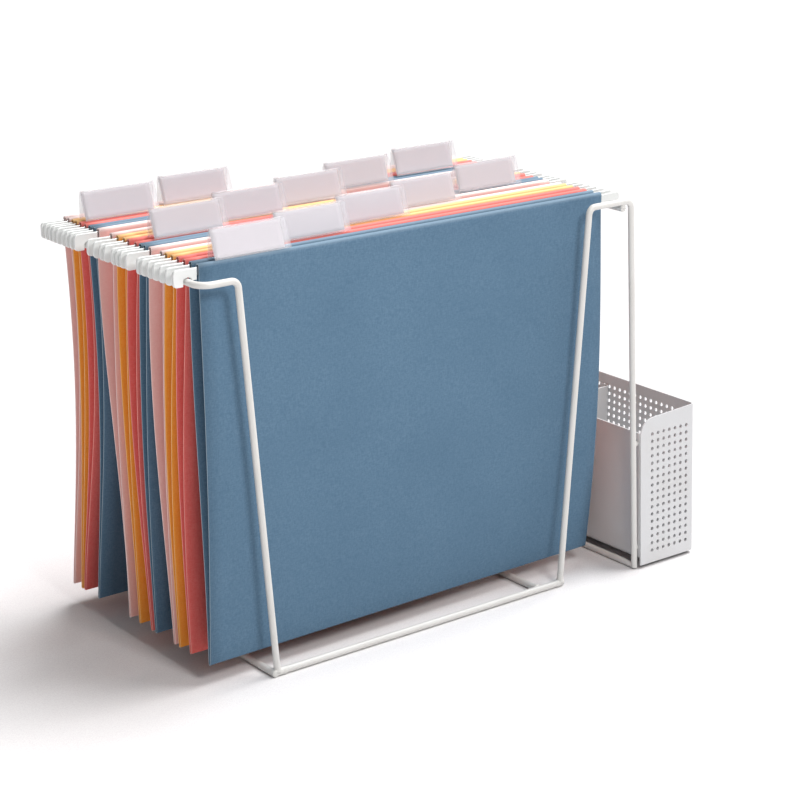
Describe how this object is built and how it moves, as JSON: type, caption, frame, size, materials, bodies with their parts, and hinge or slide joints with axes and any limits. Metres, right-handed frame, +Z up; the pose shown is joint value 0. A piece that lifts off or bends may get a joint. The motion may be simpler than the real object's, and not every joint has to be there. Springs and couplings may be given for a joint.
{
  "type": "hanging file rack",
  "caption": "Wire desktop rack that holds hanging file folders on two rails, with a divided sheet-metal pen bin along its right side.",
  "frame": {"origin": "middle of the whole object's footprint, on the desk", "axes": "+X to the right along a folder's width, towards the pen bin; +Y to the back along the rails; +Z up"},
  "size_m": [0.385, 0.1902, 0.2673],
  "materials": {
    "powder_coat": "satin",
    "rod_coat": "satin",
    "card_blue": "matte",
    "card_coral": "matte",
    "card_yellow": "matte",
    "card_pink": "matte",
    "tab_clear": "gloss"
  },
  "bodies": {
    "rack": {"left_rail_wire": "powder_coat", "right_rail": "powder_coat", "front_arch_wire": "powder_coat", "rear_arch_wire": "powder_coat", "base_front_bar": "powder_coat", "base_rear_bar": "powder_coat", "base_left_bar": "powder_coat", "base_right_bar": "powder_coat", "bin_base_wire": "powder_coat", "bin_outer_shell": "powder_coat", "bin_inner_wall": "powder_coat", "bin_divider": "powder_coat"},
    "folder_01": {"folder_01_card": "card_blue", "folder_01_front_rod": "rod_coat", "folder_01_rear_rod": "rod_coat", "folder_01_tab": "tab_clear"},
    "folder_02": {"folder_02_card": "card_coral", "folder_02_front_rod": "rod_coat", "folder_02_rear_rod": "rod_coat", "folder_02_tab": "tab_clear"},
    "folder_03": {"folder_03_card": "card_yellow", "folder_03_front_rod": "rod_coat", "folder_03_rear_rod": "rod_coat", "folder_03_tab": "tab_clear"},
    "folder_04": {"folder_04_card": "card_pink", "folder_04_front_rod": "rod_coat", "folder_04_rear_rod": "rod_coat", "folder_04_tab": "tab_clear"},
    "folder_05": {"folder_05_card": "card_blue", "folder_05_front_rod": "rod_coat", "folder_05_rear_rod": "rod_coat", "folder_05_tab": "tab_clear"},
    "folder_06": {"folder_06_card": "card_coral", "folder_06_front_rod": "rod_coat", "folder_06_rear_rod": "rod_coat", "folder_06_tab": "tab_clear"},
    "folder_07": {"folder_07_card": "card_yellow", "folder_07_front_rod": "rod_coat", "folder_07_rear_rod": "rod_coat", "folder_07_tab": "tab_clear"},
    "folder_08": {"folder_08_card": "card_pink", "folder_08_front_rod": "rod_coat", "folder_08_rear_rod": "rod_coat", "folder_08_tab": "tab_clear"},
    "folder_09": {"folder_09_card": "card_blue", "folder_09_front_rod": "rod_coat", "folder_09_rear_rod": "rod_coat", "folder_09_tab": "tab_clear"},
    "folder_10": {"folder_10_card": "card_coral", "folder_10_front_rod": "rod_coat", "folder_10_rear_rod": "rod_coat", "folder_10_tab": "tab_clear"},
    "folder_11": {"folder_11_card": "card_yellow", "folder_11_front_rod": "rod_coat", "folder_11_rear_rod": "rod_coat", "folder_11_tab": "tab_clear"},
    "folder_12": {"folder_12_card": "card_pink", "folder_12_front_rod": "rod_coat", "folder_12_rear_rod": "rod_coat", "folder_12_tab": "tab_clear"}
  },
  "joints": [
    {"name": "folder_01_slide", "type": "slide", "parent": "rack", "child": "folder_01", "axis": [0, 1, 0], "range_m": [-0.008, 0.0005]},
    {"name": "folder_02_slide", "type": "slide", "parent": "rack", "child": "folder_02", "axis": [0, 1, 0], "range_m": [-0.0005, 0.0005]},
    {"name": "folder_03_slide", "type": "slide", "parent": "rack", "child": "folder_03", "axis": [0, 1, 0], "range_m": [-0.0005, 0.0005]},
    {"name": "folder_04_slide", "type": "slide", "parent": "rack", "child": "folder_04", "axis": [0, 1, 0], "range_m": [-0.0005, 0.0005]},
    {"name": "folder_05_slide", "type": "slide", "parent": "rack", "child": "folder_05", "axis": [0, 1, 0], "range_m": [-0.0005, 0.0005]},
    {"name": "folder_06_slide", "type": "slide", "parent": "rack", "child": "folder_06", "axis": [0, 1, 0], "range_m": [-0.0005, 0.0005]},
    {"name": "folder_07_slide", "type": "slide", "parent": "rack", "child": "folder_07", "axis": [0, 1, 0], "range_m": [-0.0005, 0.0005]},
    {"name": "folder_08_slide", "type": "slide", "parent": "rack", "child": "folder_08", "axis": [0, 1, 0], "range_m": [-0.0005, 0.0005]},
    {"name": "folder_09_slide", "type": "slide", "parent": "rack", "child": "folder_09", "axis": [0, 1, 0], "range_m": [-0.0005, 0.0005]},
    {"name": "folder_10_slide", "type": "slide", "parent": "rack", "child": "folder_10", "axis": [0, 1, 0], "range_m": [-0.0005, 0.0005]},
    {"name": "folder_11_slide", "type": "slide", "parent": "rack", "child": "folder_11", "axis": [0, 1, 0], "range_m": [-0.0005, 0.0005]},
    {"name": "folder_12_slide", "type": "slide", "parent": "rack", "child": "folder_12", "axis": [0, 1, 0], "range_m": [-0.0005, 0.0003]}
  ]
}
